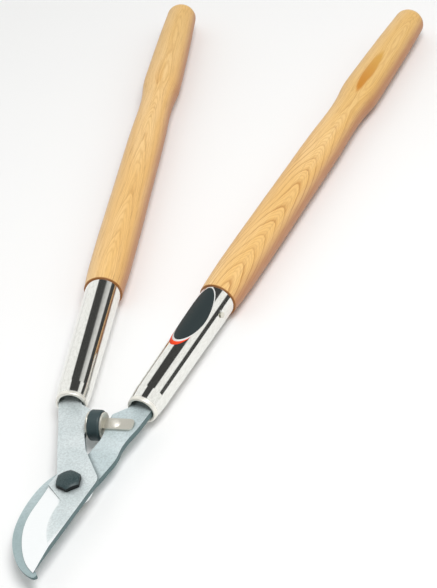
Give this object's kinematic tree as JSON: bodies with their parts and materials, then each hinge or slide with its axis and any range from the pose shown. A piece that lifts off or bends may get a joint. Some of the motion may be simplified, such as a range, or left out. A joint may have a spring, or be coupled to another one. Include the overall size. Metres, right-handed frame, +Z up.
{
  "type": "bypass loppers",
  "caption": "Long-handled bypass loppers: a bevelled blade passing a curved hook on a pivot bolt, with a rubber bumper and ferruled turned wooden handles.",
  "frame": {"origin": "middle of the bottom of the tool's box, lying flat with its jaws closed", "axes": "+X to the tool's right seen from above with the jaws towards -Y, +Y from the jaws towards the handles, +Z up, along the pivot bolt towards its head"},
  "size_m": [0.2368, 0.6678, 0.032],
  "materials": {
    "satin_steel": "sand-blasted satin with a ground bevel",
    "black_steel": "blackened",
    "bronze": "turned",
    "nickel": "nickel plated",
    "nylon": "matt",
    "rubber": "matt",
    "label": "gloss printed film, no lettering",
    "chrome": "bright plated",
    "ash": "clear varnish"
  },
  "bodies": {
    "hook_lever": {"hook": "satin_steel", "pivot_bolt": "black_steel", "pivot_bush": "bronze", "pivot_washer": "satin_steel", "disc_spring": "nickel", "lock_nut": "nickel", "nut_insert": "nylon", "bumper_bracket": "nickel", "bumper_rubber": "rubber", "bumper_face": "nickel", "bumper_rivet": "nickel", "bracket_rivet": "nickel", "ferrule_label": "label", "right_ferrule": "chrome", "right_handle": "ash", "right_ferrule_nail": "nickel"},
    "blade_lever": {"blade": "satin_steel", "left_ferrule": "chrome", "left_handle": "ash", "left_ferrule_nail": "nickel"}
  },
  "joints": [
    {"name": "pivot", "type": "hinge", "parent": "hook_lever", "child": "blade_lever", "pos_m": [0.00178, -0.25245, 0.01601], "axis": [0, 0, 1], "range_deg": [0, 75]}
  ]
}
